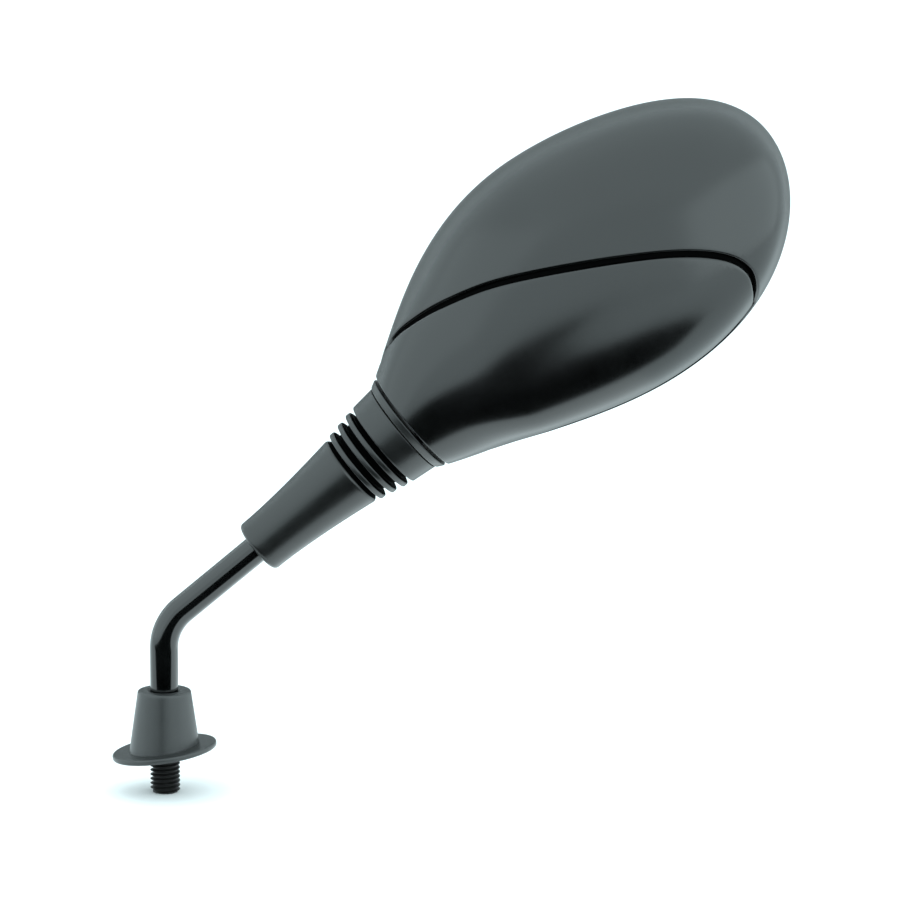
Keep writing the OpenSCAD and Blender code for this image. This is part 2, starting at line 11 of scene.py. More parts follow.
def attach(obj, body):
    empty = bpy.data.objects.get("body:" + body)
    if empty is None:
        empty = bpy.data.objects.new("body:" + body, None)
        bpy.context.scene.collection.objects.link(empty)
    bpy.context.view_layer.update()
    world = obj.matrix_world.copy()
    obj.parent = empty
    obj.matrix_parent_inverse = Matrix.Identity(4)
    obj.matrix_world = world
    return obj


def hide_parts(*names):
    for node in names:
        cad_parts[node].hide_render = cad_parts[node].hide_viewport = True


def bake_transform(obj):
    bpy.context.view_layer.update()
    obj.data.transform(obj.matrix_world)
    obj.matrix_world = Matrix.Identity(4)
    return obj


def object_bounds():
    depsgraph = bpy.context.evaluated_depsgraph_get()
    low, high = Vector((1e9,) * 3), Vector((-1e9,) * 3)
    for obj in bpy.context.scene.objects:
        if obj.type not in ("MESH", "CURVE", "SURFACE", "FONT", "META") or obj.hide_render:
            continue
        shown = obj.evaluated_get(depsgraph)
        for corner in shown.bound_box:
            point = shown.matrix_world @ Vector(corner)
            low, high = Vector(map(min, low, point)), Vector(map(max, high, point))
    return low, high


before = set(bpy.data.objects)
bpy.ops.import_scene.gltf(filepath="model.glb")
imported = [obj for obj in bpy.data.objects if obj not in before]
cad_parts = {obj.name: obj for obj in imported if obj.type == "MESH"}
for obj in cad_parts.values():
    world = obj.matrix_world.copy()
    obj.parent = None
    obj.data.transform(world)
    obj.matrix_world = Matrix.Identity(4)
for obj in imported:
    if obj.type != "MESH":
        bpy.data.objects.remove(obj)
cad_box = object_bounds()

mm = 0.001
seat_z = 6.975

# Stem, from the seat of the base boot's flange
rod_r = 4.7
thread_r = 5.0
thread_core_r = 4.1
thread_pitch = 1.5
stud_low = -13.4
stud_chamfer = 0.9
relief_r = 4.3
relief_half = 0.75
relief_flank = 0.7
thread_top = 13.0
thread_end_run = 0.7
thread_end_in = 0.35
rod_foot = 0.6
rod_in_ball = 6.5
corner_z = 43.6
bend_r = 17.5
arm_angle = 39.8
arm_len = 101.2
bend_angle = 90 - arm_angle
bend_reach = bend_r * math.tan(math.radians(bend_angle / 2))
bend_z = corner_z - bend_reach
along_arm = Vector((math.cos(math.radians(arm_angle)), 0, math.sin(math.radians(arm_angle))))
across_arm = Vector((-along_arm.z, 0, along_arm.x))
ball = Vector((0, 0, seat_z + corner_z)) + arm_len * along_arm

# Base boot
flange_r = 17.6
flange_t = 1.9
flange_tilt = 7.8
cone_foot_r = 11.7
cone_top_r = 8.85
cone_top_z = 21.5
cone_round = 1.1
boot_lip_r = 4.9
boot_lip_low = 14.1
boot_lip_high = 20.4
boot_lip_mouth_r = 5.7
boot_hollow = [(9.9, 0.95, 0), (9.4, 4, 0), (9.0, 7.5, 0), (8.6, 11.05, 0.6)]
flange_bore_r = 9.7
flange_lip = 0.15
lean_top = 9
lean_run = 8
cone_lean_end = 18

# Neck boot, as stations along the arm from the ball's centre
boot_mouth = -60.7
taper_end = -19.7
taper_r = 9.4
taper_end_r = 12.8
rib_at = [-16.7, -12.6, -8.5]
rib_r = [13.6, 14.4, 15.2]
rib_half = 0.9
rib_foot = 0.45
rib_foot_rise = 0.2
groove_depth = 2.6
sleeve_start = -5.7
sleeve_end = 3.0
sleeve_r = 15.7
sleeve_flare = 0.9
boot_mouth_run = 3.6
taper_steps = 24
sleeve_bore_r = 13.8
twist_start = -30.0
ribs_start = -18.0
last_rib_start = -10.55
sleeve_cut = sleeve_start - 0.35
ring_outline = [(13.6, 3.3, 0), (16.75, 3.3, 0.1), (17.15, 3.6, 0.15), (18.2, 5.7, 0.3), (17.9, 6.0, 0.1),
                (13.6, 6.0, 0)]
tube_in = 11.3
tube_out = 13.5
tube_start = -4.7
collar_r = 16.6
collar_len = 4

# Head
neck_a = 7.0
neck_r = 18.9
belly_r = 45.0
belly_a = 85.7
tip_a = 157.5
crown_y = 27.0
rim_y = 18.0
side_y = 15.0
head_drop = 0.7
head_sway = 3.0
sway_top = 0.24
sway_run = 0.59
crown_shift = 0.3
round_len = 34.0
dome_power = 2.3
front_power_far = 2.25
back_power_far = 5
core_y = 3
shell_t = 2.2
cover_t = 1.8
floor_d = 2.1
rim_w = 4.0
plan_round = 15.0
rim_start = 18.0
mouth_wall_y = 8
mouth_wall_from = 3.5
mouth_wall_run = 2
groove_half = 0.85
joint_half = 1.3
cover_neck_y = 3.0
cover_rise = 36.0
cover_y = -7.7
zone_top = 60
zone_low = -70
side_top = 50
side_low = -60
joint_corner = 1.5
zone_corner = 0.8
joint_from = 3
joint_run = 4
seam = [[10, 18.6], [13, 22.74], [18.2, 25.2], [26, 26.4], [39.6, 25], [58.9, 19.6], [83.8, 7.1],
        [107, -7.2], [120.5, -19.4], [124.8, -29.5], [121.6, -38], [116, -43.2], [109, -47.5], [99, -54]]

# Glass
glass_gap = 0.8
glass_t = 2.4
glass_curve = 1200.0
glass_crown_y = 15.8
glass_middle = 89.75
glass_span = 18, 160
glass_rise = -54, 50
silvered_from = 0.6

# Net over the head
neck_rows = [0, 0.07, 0.2, 0.4, 0.7, 1.2, 1.9, 2.8]
row_start = 4.0
row_pitch = 1.35
tip_step = 1.25
front_bearings = 101
side_bearings = [2, 4.5, 7.5, 11, 15, 19, 23, 27, 31, 35, 39, 43, 47, 52, 58, 65, 72, 81]
snap = 0.22
edge_steps = np.array([0, 0.076, 0.293, 0.617, 1.0])


def placed(a, q, y):
    """Point of the part's frame, in metres, at the head's own station, offset and depth in mm"""
    return (ball + a * along_arm + q * across_arm + Vector((0, y, 0))) * mm


arm_frame = Matrix.Translation(ball * mm) @ Matrix((
    (-across_arm.x, 0, along_arm.x, 0),
    (0, 1, 0, 0),
    (-across_arm.z, 0, along_arm.z, 0),
    (0, 0, 0, 1),
))
seat_frame = Matrix.Translation((0, 0, seat_z * mm))


# Shop tools

def pick_none():
    bpy.ops.object.select_all(action="DESELECT")


def shown(name, data):
    obj = bpy.data.objects.new(name, data)
    bpy.context.scene.collection.objects.link(obj)
    return obj


def only(obj):
    pick_none()
    obj.select_set(True)
    bpy.context.view_layer.objects.active = obj


def edit(obj):
    only(obj)
    bpy.ops.object.mode_set(mode="EDIT")
    bpy.ops.mesh.select_all(action="SELECT")


def leave():
    bpy.ops.object.mode_set(mode="OBJECT")


def tidied(obj, smooth_angle):
    """Merges doubles, turns the faces outwards and smooths all but the sharp edges"""
    edit(obj)
    bpy.ops.mesh.remove_doubles(threshold=2e-6)
    bpy.ops.mesh.normals_make_consistent(inside=False)
    leave()
    bpy.ops.object.shade_smooth_by_angle(angle=math.radians(smooth_angle))


def eased(corners, steps=6):
    """Outline through corners of (x, z, rounding), each corner eased by its rounding"""
    points = []
    for i, (x, z, ease) in enumerate(corners):
        here = Vector((x, z))
        before = Vector(corners[i - 1][:2]) - here
        after = Vector(corners[(i + 1) % len(corners)][:2]) - here
        if ease <= 0:
            points.append(here)
            continue
        start = here + before.normalized() * min(ease, before.length * 0.49)
        end = here + after.normalized() * min(ease, after.length * 0.49)
        for step in range(steps + 1):
            t = step / steps
            points.append(start * (1 - t) ** 2 + here * 2 * t * (1 - t) + end * t ** 2)
    return points


def turned(name, outline, place, sides=128, smooth_angle=40):
    """Solid turned about its own Z axis from a closed outline of (radius, height) in mm"""
    mesh = bpy.data.meshes.new(name)
    ring = [(point[0] * mm, 0, point[1] * mm) for point in outline]
    mesh.from_pydata(ring, [(i, (i + 1) % len(ring)) for i in range(len(ring))], [])
    obj = shown(name, mesh)
    edit(obj)
    bpy.ops.mesh.spin(steps=sides, angle=2 * math.pi, center=(0, 0, 0), axis=(0, 0, 1))
    leave()
    obj.data.transform(place)
    tidied(obj, smooth_angle)
    return obj


def joined(first, *others):
    only(first)
    for other in others:
        other.select_set(True)
    bpy.ops.object.join()
    return first


def smooth(t):
    return t * t * (3 - 2 * t)


# Form of the head, in mm as (a, q, y): along the arm, across it, and towards the rider

def towards(a, start, end):
    """Value that goes from start at the neck to end where the round part of the head stops"""
    t = np.clip((a - neck_a) / round_len, 0, 1)
    return start + (end - start) * t * t * (3 - 2 * t)


def middle_q(a):
    """Offset of the head's middle line at a station"""
    swing = (a - neck_a) / (tip_a - neck_a)
    return -head_drop + head_sway * np.cos(np.pi * (swing - sway_top) / sway_run)


def head_point(place, d):
    """Points at (row, bearing) on the head's surface set in by d. Rows run 0 at the neck, 1 at the
    widest station and 2 at the tip; the bearing is 0 at the front, 90 and -90 on the sides."""
    row, bearing = place[:, 0], place[:, 1]
    rise = np.sin(np.pi / 2 * np.clip(row, 0, 1))
    fall = np.pi / 2 * np.clip(row - 1, 0, 1)
    low = row <= 1
    a = np.where(low, neck_a + (belly_a - neck_a) * row, belly_a + (tip_a - d - belly_a) * np.sin(fall))
    half = np.where(low, neck_r - d + (belly_r - neck_r) * rise, (belly_r - d) * np.cos(fall))
    wide = towards(a, 0, side_y - d)
    dome = np.clip(1 - np.sin(fall) ** dome_power, 0, 1) ** (1 / dome_power)
    front = np.where(
        low, wide + neck_r - d + (crown_y - neck_r) * rise, (side_y + crown_y - 2 * d) * dome)
    close = np.clip(1 - np.sin(fall) ** back_power_far, 0, 1) ** (1 / back_power_far)
    back = (towards(a, neck_r, rim_y) - d - wide) * close
    ahead = np.abs(bearing) <= 90
    turn = np.radians(bearing)
    s, c = np.sin(turn), np.clip(np.cos(turn), 0, 1)
    front_power = towards(a, 2, front_power_far)
    front_q = half * np.sign(s) * np.abs(s) ** (2 / front_power)
    front_q = front_q - towards(a, 0, crown_shift) * half * c * c
    back_power = towards(a, 2, back_power_far)
    lean = np.radians(np.clip(np.abs(bearing) - 90, 0, 90))
    size = (np.cos(lean) ** back_power + np.sin(lean) ** back_power) ** (1 / back_power)
    q = middle_q(a) + np.where(ahead, front_q, half * np.sign(bearing) * np.cos(lean) / size)
    y = np.where(ahead, wide - front * c ** (2 / front_power), wide + back * np.sin(lean) / size)
    return np.stack([a, q, y], axis=1)


def head_normal(place):
    """Outward normals of the head's surface"""
    step_row, step_bearing = 1e-4, 0.02
    inner = np.clip(place, [1e-3, -400], [1.99, 400])
    over = inner + [step_row, 0], inner - [step_row, 0]
    beside = inner + [0, step_bearing], inner - [0, step_bearing]
    along = head_point(over[0], 0) - head_point(over[1], 0)
    around = head_point(beside[0], 0) - head_point(beside[1], 0)
    normal = np.cross(along, around)
    point = head_point(place, 0)
    a = point[:, 0]
    core = np.stack([np.minimum(a, belly_a), middle_q(a), 0 * a + core_y], axis=1)
    normal *= np.sign(np.sum(normal * (point - core), axis=1))[:, None]
    return normal / np.maximum(np.linalg.norm(normal, axis=1), 1e-12)[:, None]


def head_rows():
    length = np.float64(belly_a - neck_a)
    far = np.arange(row_start, length, row_pitch)
    tip = np.concatenate([np.arange(0, 88, tip_step), [88.5, 89.3]])
    return np.concatenate([neck_rows / length, far / length, 1 + tip / 90])


def head_bearings():
    front = np.linspace(-90, 90, front_bearings)
    side = np.array(side_bearings)
    return np.concatenate([-90 - side[::-1], front, 90 + side, [180]])


def head_net():
    """Places and faces of a net over the whole head, open at the neck and closed at the tip"""
    rows, bearings = head_rows(), head_bearings()
    n = len(bearings)
    places = [(row, bearing) for row in rows for bearing in bearings] + [(2.0, 0.0)]
    faces = []
    for i in range(len(rows) - 1):
        for j in range(n):
            k = (j + 1) % n
            faces.append([i * n + j, i * n + k, (i + 1) * n + k, (i + 1) * n + j])
    last = (len(rows) - 1) * n
    faces += [[last + j, last + (j + 1) % n, len(places) - 1] for j in range(n)]
    return np.array(places), faces


def between(start, end, t):
    """Place at t from start to end, the short way round"""
    step = end - start
    step[:, 1] = (step[:, 1] + 180) % 360 - 180
    place = start + step * t[:, None]
    place[:, 1] = (place[:, 1] + 180) % 360 - 180
    return place


def crossing(start, end, value_at, value_start, value_end):
    """Place on each edge where the value passes zero"""
    low, high = np.zeros(len(start)), np.ones(len(start))
    low_value, high_value = value_start.copy(), value_end.copy()
    for _ in range(5):
        t = low + (high - low) * low_value / (low_value - high_value)
        value = value_at(between(start, end, t))
        same = np.sign(value) == np.sign(low_value)
        low, low_value = np.where(same, t, low), np.where(same, value, low_value)
        high, high_value = np.where(same, high, t), np.where(same, high_value, value)
        high_value = np.where(high_value == low_value, high_value + 1e-12, high_value)
    return between(start, end, t), t


def split_face(face, on, value):
    """Parts of a face cut between its corners that lie on the line"""
    if not (any(value[v] > 0 for v in face) and any(value[v] < 0 for v in face)):
        return [face]
    spots = [i for i, v in enumerate(face) if v in on]
    for m, first in enumerate(spots):
        for second in spots[m + 1:]:
            if 1 < second - first < len(face) - 1:
                left = face[first:second + 1]
                right = face[second:] + face[:first + 1]
                return split_face(left, on, value) + split_face(right, on, value)
    return [face]


def score(places, faces, measure, level, held):
    """Cuts a net along the line where measure equals level. Held corners keep their place."""
    def off(where):
        return measure(where) - level
    value = off(places)
    pairs = {(min(p, q), max(p, q)) for f in faces for p, q in zip(f, f[1:] + f[:1])}
    edges = np.array(sorted(pairs))
    hit = edges[value[edges[:, 0]] * value[edges[:, 1]] < 0]
    spot, t = crossing(places[hit[:, 0]], places[hit[:, 1]], off, value[hit[:, 0]], value[hit[:, 1]])
    on = set()
    for (first, second), where, share in zip(hit, spot, t):
        near = first if share < snap else second if share > 1 - snap else -1
        if near >= 0 and near not in held and near not in on:
            places[near] = where
            value[near] = 0
            on.add(int(near))
    on |= {int(v) for v in np.flatnonzero(np.abs(value) < 1e-9)}
    hit = edges[value[edges[:, 0]] * value[edges[:, 1]] < 0]
    spot, _ = crossing(places[hit[:, 0]], places[hit[:, 1]], off, value[hit[:, 0]], value[hit[:, 1]])
    made = {(int(p), int(q)): len(places) + i for i, (p, q) in enumerate(hit)}
    places = np.concatenate([places, spot])
    value = np.concatenate([value, np.zeros(len(spot))])
    on |= set(made.values())
    parts = []
    for face in faces:
        full = []
        for p, q in zip(face, face[1:] + face[:1]):
            full.append(p)
            extra = made.get((min(p, q), max(p, q)))
            if extra is not None:
                full.append(extra)
        parts += split_face(full, on, value)
    held |= on
    return places, parts


# Lines of the head that the cuts follow

def to_lines(points, line, closed):
    """Distance of each point to a polyline"""
    ends = np.roll(line, -1, axis=0) if closed else line[1:]
    starts = line if closed else line[:-1]
    span = ends - starts
    length = np.maximum(np.sum(span * span, axis=1), 1e-12)
    nearest = np.full(len(points), 1e9)
    for chunk in range(0, len(points), 4000):
        part = points[chunk:chunk + 4000, None, :] - starts[None]
        t = np.clip(np.sum(part * span[None], axis=2) / length, 0, 1)
        away = np.linalg.norm(part - t[..., None] * span[None], axis=2)
        nearest[chunk:chunk + 4000] = away.min(axis=1)
    return nearest


def inside(points, line):
    """Whether each plan point lies inside a closed polyline"""
    x, z = points[:, 0][:, None], points[:, 1][:, None]
    x1, z1 = line[:, 0][None], line[:, 1][None]
    x2, z2 = np.roll(line, -1, axis=0)[:, 0][None], np.roll(line, -1, axis=0)[:, 1][None]
    height = np.where(z1 == z2, 1e-12, z2 - z1)
    hit = ((z1 > z) != (z2 > z)) & (x < (x2 - x1) * (z - z1) / height + x1)
    return hit.sum(axis=1) % 2 == 1


def seam_line():
    """Plan of the seam as a smooth curve through its points"""
    p = np.array(seam, float)
    line = []
    for i in range(len(p) - 3):
        a, b, c, d = p[i:i + 4]
        for t in np.linspace(0, 1, 24, endpoint=False):
            line.append(0.5 * (2 * b + (c - a) * t + (2 * a - 5 * b + 4 * c - d) * t * t
                               + (3 * b - a - 3 * c + d) * t ** 3))
    line.append(p[-2])
    return np.array(line)


def on_front(plan_points):
    """Points of the front surface above plan points, and whether each plan point is over the head"""
    a, q = plan_points[:, 0], plan_points[:, 1]
    past = np.arcsin(np.clip((a - belly_a) / (tip_a - belly_a), 0, 1)) / (np.pi / 2)
    row = np.where(a <= belly_a, (a - neck_a) / (belly_a - neck_a), 1 + past)
    low, high = np.full(len(a), -90.0), np.full(len(a), 90.0)
    q_low = head_point(np.stack([row, low], axis=1), 0)[:, 1]
    q_high = head_point(np.stack([row, high], axis=1), 0)[:, 1]
    for _ in range(40):
        mid = (low + high) / 2
        below = head_point(np.stack([row, mid], axis=1), 0)[:, 1] < q
        low, high = np.where(below, mid, low), np.where(below, high, mid)
    return head_point(np.stack([row, low], axis=1), 0), (q > q_low) & (q < q_high)


seam_plan = seam_line()
seam_start, seam_stop = seam[1][0], seam[-2][0]
cover_plan = np.concatenate([
    [[neck_a - 8, zone_top], [seam_start, zone_top]], seam_plan,
    [[seam_stop, zone_low], [neck_a - 8, zone_low]]])
seam_points, over_head = on_front(seam_plan)
seam_points = seam_points[over_head]
over_side = np.linspace(120, 87, 24)
start_row = 0 * over_side + (seam_start - neck_a) / (belly_a - neck_a)
over_side = np.stack([start_row, over_side], axis=1)
seam_points = np.concatenate([head_point(over_side, 0), seam_points])


def larger(first, second, ease):
    """The larger of two values, eased where they are alike"""
    h = np.clip(0.5 + 0.5 * (first - second) / ease, 0, 1)
    return second + (first - second) * h + ease * h * (1 - h)


def past_zone(place, grow, grow_y):
    """Distance past the edge of the cover's zone grown by grow at the seam and grow_y at the joint"""
    point = head_point(place, 0)
    across = to_lines(point, seam_points, False)
    plan = point[:, :2].copy()
    bearing = place[:, 1]
    plan[:, 1] = np.where(bearing > 90, side_top, np.where(bearing < -90, side_low, plan[:, 1]))
    across = np.where(inside(plan, cover_plan), -across, across)
    slope = cover_neck_y + (cover_y - cover_neck_y) * (point[:, 0] - neck_a) / cover_rise
    limit = larger(slope, 0 * slope + cover_y, joint_corner)
    return larger(across - grow, point[:, 2] - limit - grow_y, zone_corner)


def at_joint(place):
    """1 where the zone ends at the joint line, 0 where it ends at the seam"""
    point = head_point(place, 0)
    away = to_lines(point, seam_points, False)
    return np.clip((away - joint_from) / joint_run, 0, 1) * (point[:, 2] > cover_y - joint_from)


def outline_inset(d):
    """The head's outline from the rim's start to the tip, set in by d and the plan's rounding"""
    turn = np.linspace(0, 90, 200)
    stations = np.concatenate([
        np.arange(rim_start, belly_a, 0.5), belly_a + (tip_a - belly_a) * np.sin(np.radians(turn))])
    row = np.where(stations <= belly_a, (stations - neck_a) / (belly_a - neck_a),
                   1 + np.concatenate([np.zeros(len(stations) - 200), turn]) / 90)
    upper = head_point(np.stack([row, 0 * row + 90], axis=1), 0)[:, :2]
    lower = head_point(np.stack([row, 0 * row - 90], axis=1), 0)[:, :2]
    chord = np.linspace(lower[0], upper[0], 80)[1:-1]
    line = np.concatenate([upper, lower[::-1][1:], chord])
    step = np.roll(line, -1, axis=0) - np.roll(line, 1, axis=0)
    inward = np.stack([step[:, 1], -step[:, 0]], axis=1)
    inward /= np.maximum(np.linalg.norm(inward, axis=1), 1e-9)[:, None]
    inset = line + (d + plan_round) * inward
    return inset[to_lines(inset, line, True) > d + plan_round - 0.02]


def past_plan_edge(plan_points, inset):
    """Distance inside the rounded plan that an inset outline stands for"""
    away = to_lines(plan_points, inset, True)
    return plan_round - np.where(inside(plan_points, inset), -away, away)


mouth_inset = outline_inset(rim_w)
glass_inset = outline_inset(rim_w + glass_gap)


def past_mouth(place):
    """Distance inside the mouth's edge, on the back of the head alone"""
    point = head_point(place, 0)
    return np.where(np.abs(place[:, 1]) > 90, past_plan_edge(point[:, :2], mouth_inset), -rim_w)


def eased_edge(distance, radius):
    """Depth of a rounded edge at a distance from it"""
    rest = np.clip(radius - distance, 0, radius)
    return radius - np.sqrt(radius ** 2 - rest ** 2)


def edges_of(faces):
    """Edges that border only one of the faces, in the face's order"""
    seen = {}
    for face in faces:
        for p, q in zip(face, face[1:] + face[:1]):
            seen[(p, q)] = True
    return [(p, q) for p, q in seen if (q, p) not in seen]


def built(name, points, faces, smooth_angle, marked=()):
    """Mesh object from the head's own points, without the loose ones. Marked faces get slot 1."""
    used = sorted({v for face in faces for v in face})
    slim = {v: i for i, v in enumerate(used)}
    mesh = bpy.data.meshes.new(name)
    corners = [placed(*points[v].tolist()) for v in used]
    mesh.from_pydata(corners, [], [[slim[v] for v in face] for face in faces])
    for polygon, face in zip(mesh.polygons, faces):
        polygon.material_index = int(frozenset(face) in marked) if marked else 0
    obj = shown(name, mesh)
    tidied(obj, smooth_angle)
    return obj


def rear_shell():
    """Shell with the groove's floor for the cover, its mouth for the glass and the neck's tube"""
    edge_r, joint_edge_r, lip_r, neck_ease = 0.9, 0.15, 0.8, 0.4
    places, faces = head_net()
    held = set()

    def zone(place):
        return past_zone(place, groove_half, joint_half)
    for level in edge_steps * edge_r:
        places, faces = score(places, faces, zone, level, held)
    for level in -edge_steps * lip_r:
        places, faces = score(places, faces, past_mouth, level, held)
    beyond, mouth = zone(places), past_mouth(places)
    faces = [f for f in faces if np.mean(mouth[f]) < 0]
    floor = [f for f in faces if np.mean(beyond[f]) < 0]
    skin = [f for f in faces if np.mean(beyond[f]) >= 0]
    surface = head_point(places, 0)
    seam_edge = edge_r + (joint_edge_r - edge_r) * at_joint(places)
    depth = np.maximum(eased_edge(beyond, seam_edge), eased_edge(-mouth, lip_r))
    depth = np.maximum(depth, eased_edge(surface[:, 0] - neck_a, neck_ease))
    outer = surface - head_normal(places) * depth[:, None]
    past_floor = smooth(np.clip(beyond - shell_t, 0, 1))
    inner = head_point(places, shell_t + floor_d * (1 - past_floor))
    wall = np.clip((mouth + mouth_wall_from) / mouth_wall_run, 0, 1)
    wall = smooth(wall * (np.abs(places[:, 1]) > 90))
    inner[:, :2] += (surface[:, :2] - inner[:, :2]) * wall[:, None]
    inner[:, 2] += (mouth_wall_y - inner[:, 2]) * wall
    n = len(places)
    points = np.concatenate([outer, head_point(places, floor_d), inner])
    solid = skin + [[v + n for v in f] for f in floor]
    solid += [[v + 2 * n for v in reversed(f)] for f in faces]
    rim_edges, skin_edges, floor_edges = edges_of(faces), edges_of(skin), edges_of(floor)
    open_rim = set(rim_edges)
    solid += [[q, p, p + n, q + n] for p, q in skin_edges if (p, q) not in open_rim]
    solid += [[q, p, p + 2 * n, q + 2 * n] for p, q in skin_edges if (p, q) in open_rim]
    solid += [[q + n, p + n, p + 2 * n, q + 2 * n] for p, q in floor_edges if (p, q) in open_rim]
    # The groove's floor and its walls take slot 1, the matte near-black: painted shade deep in the groove
    painted_shade_faces = {frozenset(v + n for v in f) for f in floor}
    painted_shade_faces |= {frozenset((q, p, p + n, q + n)) for p, q in skin_edges if (p, q) not in open_rim}
    obj = built("shell_moulding", points, solid, 50, painted_shade_faces)
    obj.data.materials.append(head_plastic)
    obj.data.materials.append(painted_shade_gap)
    tube = turned("neck_tube", eased([
        (tube_in, tube_start, 0.3), (tube_out, tube_start, 0.4), (tube_out, neck_a, 0),
        (collar_r, neck_a, 0), (collar_r, neck_a + collar_len, 0.3), (tube_in, neck_a + collar_len, 0.3),
    ]), arm_frame)
    tube.data.materials.append(head_plastic)
    return joined(obj, tube)


def lower_cover():
    """Cover panel of even thickness inside the groove, with its outer edge rounded"""
    edge_r, neck_ease = 1.25, 0.4
    places, faces = head_net()
    held = set()

    def zone(place):
        return past_zone(place, -groove_half, -joint_half)
    for level in -edge_steps * edge_r:
        places, faces = score(places, faces, zone, level, held)
    beyond = zone(places)
    faces = [f for f in faces if np.mean(beyond[f]) < 0]
    surface = head_point(places, 0)
    depth = np.maximum(eased_edge(-beyond, edge_r), eased_edge(surface[:, 0] - neck_a, neck_ease))
    outer = surface - head_normal(places) * depth[:, None]
    n = len(places)
    points = np.concatenate([outer, head_point(places, cover_t)])
    solid = faces + [[v + n for v in reversed(f)] for f in faces]
    solid += [[q, p, p + n, q + n] for p, q in edges_of(faces)]
    return built("cover_moulding", points, solid, 50)


def mirror_glass():
    """Convex glass with a ground edge: its front is silvered, and the marked faces are bare glass"""
    edge_r, pitch = 0.5, 2.5
    a = np.arange(*glass_span, pitch)
    q = np.arange(*glass_rise, pitch)
    n = len(q)
    places = np.array([(i, j) for i in a for j in q])
    faces = [[i * n + j, i * n + j + 1, (i + 1) * n + j + 1, (i + 1) * n + j]
             for i in range(len(a) - 1) for j in range(n - 1)]
    held = set()

    def edge(place):
        return past_plan_edge(place, glass_inset)
    for level in edge_steps * edge_r:
        places, faces = score(places, faces, edge, level, held)
    within = edge(places)
    faces = [f for f in faces if np.mean(within[f]) > 0]
    away = (places[:, 0] - glass_middle) ** 2 + places[:, 1] ** 2
    centre = glass_crown_y - glass_curve
    top = centre + np.sqrt(glass_curve ** 2 - away) - eased_edge(within, edge_r)
    low = centre + np.sqrt((glass_curve - glass_t) ** 2 - away)
    points = np.concatenate([np.column_stack([places, top]), np.column_stack([places, low])])
    n = len(places)
    silvered = [f for f in faces if np.mean(within[f]) > silvered_from * edge_r]
    bevel = [f for f in faces if np.mean(within[f]) <= silvered_from * edge_r]
    bare = bevel + [[v + n for v in reversed(f)] for f in faces]
    bare += [[q, p, p + n, q + n] for p, q in edges_of(faces)]
    return built("mirror_glass", points, silvered + bare, 50, {frozenset(f) for f in bare})


def stem_rod():
    """Painted rod: straight out of the boot, round the bend and along the arm to the ball"""
    start = seat_z + thread_top + rod_foot
    pick_none()
    bpy.ops.mesh.primitive_circle_add(
        vertices=72, radius=rod_r * mm, fill_type="NOTHING", location=(0, 0, start * mm))
    rod = bpy.context.object
    rod.name = rod.data.name = "stem_rod"
    edit(rod)
    bpy.ops.mesh.extrude_region_move(
        TRANSFORM_OT_translate={"value": (0, 0, (seat_z + bend_z - start) * mm)})
    bpy.ops.mesh.spin(
        steps=40, angle=-math.radians(bend_angle), center=(bend_r * mm, 0, (seat_z + bend_z) * mm),
        axis=(0, 1, 0))
    straight = arm_len - bend_reach - rod_in_ball
    bpy.ops.mesh.extrude_region_move(TRANSFORM_OT_translate={"value": along_arm * straight * mm})
    bpy.ops.mesh.select_all(action="SELECT")
    bpy.ops.mesh.fill_holes(sides=0)
    leave()
    rod.data.transform(Matrix.Translation(rod.location))
    rod.location = (0, 0, 0)
    tidied(rod, 40)
    return rod


def thread_limit(z):
    """Largest radius that the turned stud leaves at a height above the seat"""
    limit = thread_r
    limit = min(limit, thread_r - stud_chamfer + max(0, z - stud_low))
    if abs(z) < relief_half + relief_flank:
        limit = min(limit, relief_r + max(0, abs(z) - relief_half))
    return min(limit, rod_r - thread_end_in + max(0, thread_top + thread_end_run - z))


def stud_thread():
    """Rolled thread with a chamfered end and a turned relief under the boot"""
    half = thread_pitch / 2
    core, crest = thread_core_r, thread_r - 0.02
    side = [(core, 0), (core, 0.15), (core + 0.08, 0.24), (crest - 0.07, half - 0.13),
            (crest, half - 0.08)]
    profile = side + [(r, thread_pitch - z) for r, z in reversed(side)]
    low = seat_z + stud_low - thread_pitch
    mesh = bpy.data.meshes.new("stud_thread")
    mesh.from_pydata([(r * mm, 0, (low + z) * mm) for r, z in profile],
                     [(i, i + 1) for i in range(len(profile) - 1)], [])
    stud = shown("stud_thread", mesh)
    only(stud)
    screw = stud.modifiers.new("thread", "SCREW")
    screw.axis = "Z"
    screw.angle = 2 * math.pi
    screw.screw_offset = thread_pitch * mm
    screw.iterations = 20
    screw.steps = screw.render_steps = 48
    bpy.ops.object.modifier_apply(modifier=screw.name)
    edit(stud)
    bpy.ops.mesh.remove_doubles(threshold=2e-6)
    for height, up in ((seat_z + stud_low, -1), (seat_z + thread_top + 0.9, 1)):
        bpy.ops.mesh.select_all(action="SELECT")
        bpy.ops.mesh.bisect(
            plane_co=(0, 0, height * mm), plane_no=(0, 0, up), use_fill=True, clear_outer=True)
    leave()
    for vertex in stud.data.vertices:
        reach = math.hypot(vertex.co.x, vertex.co.y) / mm
        limit = thread_limit(vertex.co.z / mm - seat_z)
        if reach > limit:
            vertex.co.x *= limit / reach
            vertex.co.y *= limit / reach
    tidied(stud, 35)
    return stud


def cone_r(height):
    """Radius of the cone's straight side at a height above the seat"""
    return cone_top_r + (cone_foot_r - cone_top_r) * (cone_top_z - height) / (cone_top_z - flange_t)


